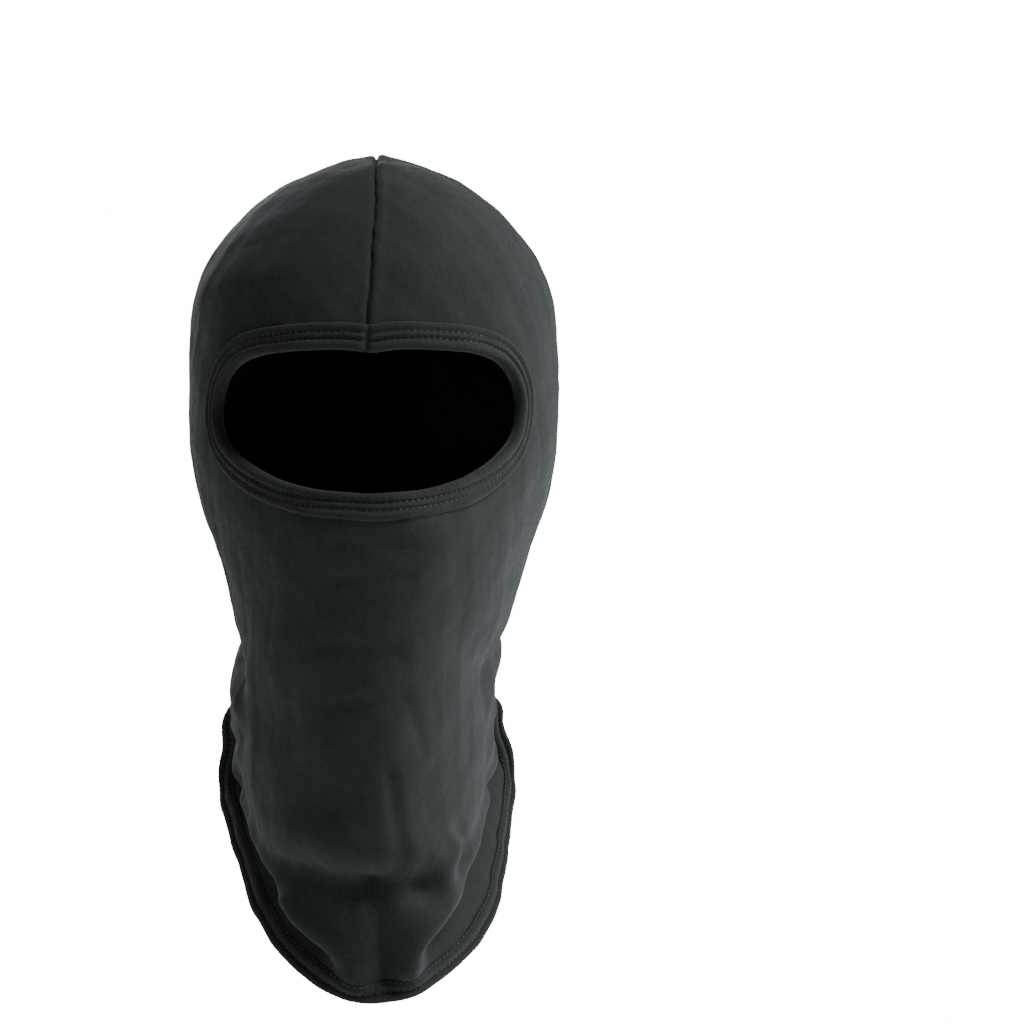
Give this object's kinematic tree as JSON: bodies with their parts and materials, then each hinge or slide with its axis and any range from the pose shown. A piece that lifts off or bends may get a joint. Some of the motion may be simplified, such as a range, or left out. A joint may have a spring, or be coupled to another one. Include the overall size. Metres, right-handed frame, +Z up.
{
  "type": "balaclava",
  "caption": "Stretch fleece balaclava with one bound face opening, a centre seam over the crown and a bib hem that covers the throat.",
  "frame": {"origin": "centre of the head cavity, level with the middle of the face opening", "axes": "+Z up towards the crown, the wearer looks along -Y, +X towards the wearer's left"},
  "size_m": [0.1582, 0.2155, 0.3675],
  "materials": {
    "fleece": "charcoal brushed stretch knit, matt, with a soft pile",
    "binding": "charcoal stretch knit strip, folded and coverstitched, matt",
    "elastic": "flat rubber elastic, dark, matt",
    "thread": "black polyester sewing thread, slight sheen"
  },
  "bodies": {
    "root": {"main_panel": "fleece", "face_binding": "binding", "hem_binding": "binding", "face_elastic": "elastic", "face_inner_stitch_row": "thread", "face_outer_stitch_row": "thread", "face_looper_thread": "thread", "hem_inner_stitch_row": "thread", "hem_outer_stitch_row": "thread", "hem_looper_thread": "thread", "seam_needle_thread": "thread", "seam_overlock_thread": "thread"}
  },
  "joints": []
}
